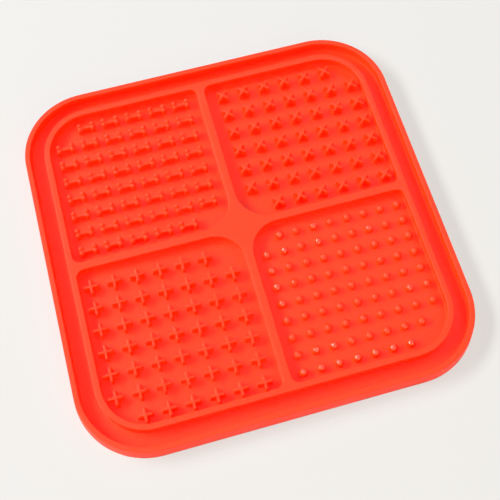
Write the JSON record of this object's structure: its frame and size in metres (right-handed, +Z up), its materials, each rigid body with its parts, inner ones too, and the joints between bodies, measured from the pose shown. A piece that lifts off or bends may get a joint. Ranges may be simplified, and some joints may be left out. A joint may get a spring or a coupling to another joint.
{
  "type": "lick mat",
  "caption": "Square silicone lick mat with a raised lip, a spill gutter and walled wells of bone, X, plus and dome studs that spread soft food out for slow licking.",
  "frame": {"origin": "middle of the underside, on the surface the mat lies on", "axes": "+Z up out of the studs; +X to the right and +Y to the back as seen in the picture, so the bone well is back left and the dome well front right"},
  "size_m": [0.2, 0.2, 0.0087],
  "materials": {
    "red_silicone": "moulded silicone rubber, opaque orange-red, smooth satin surface"
  },
  "bodies": {
    "root": {"base_sheet": "red_silicone", "bone_row_1": "red_silicone", "bone_row_2": "red_silicone", "bone_row_3": "red_silicone", "bone_row_4": "red_silicone", "bone_row_5": "red_silicone", "bone_row_6": "red_silicone", "bone_row_7": "red_silicone", "bone_row_8": "red_silicone", "bone_well_floor": "red_silicone", "divider_hub": "red_silicone", "divider_rib_back": "red_silicone", "divider_rib_front": "red_silicone", "divider_rib_left": "red_silicone", "divider_rib_right": "red_silicone", "dome_row_1": "red_silicone", "dome_row_2": "red_silicone", "dome_row_3": "red_silicone", "dome_row_4": "red_silicone", "dome_row_5": "red_silicone", "dome_row_6": "red_silicone", "dome_row_7": "red_silicone", "dome_row_8": "red_silicone", "dome_row_9": "red_silicone", "dome_well_floor": "red_silicone", "plus_row_1": "red_silicone", "plus_row_2": "red_silicone", "plus_row_3": "red_silicone", "plus_row_4": "red_silicone", "plus_row_5": "red_silicone", "plus_row_6": "red_silicone", "plus_row_7": "red_silicone", "plus_well_floor": "red_silicone", "rim_lip": "red_silicone", "well_frame": "red_silicone", "x_row_1": "red_silicone", "x_row_2": "red_silicone", "x_row_3": "red_silicone", "x_row_4": "red_silicone", "x_row_5": "red_silicone", "x_row_6": "red_silicone", "x_row_7": "red_silicone", "x_well_floor": "red_silicone"}
  },
  "joints": []
}
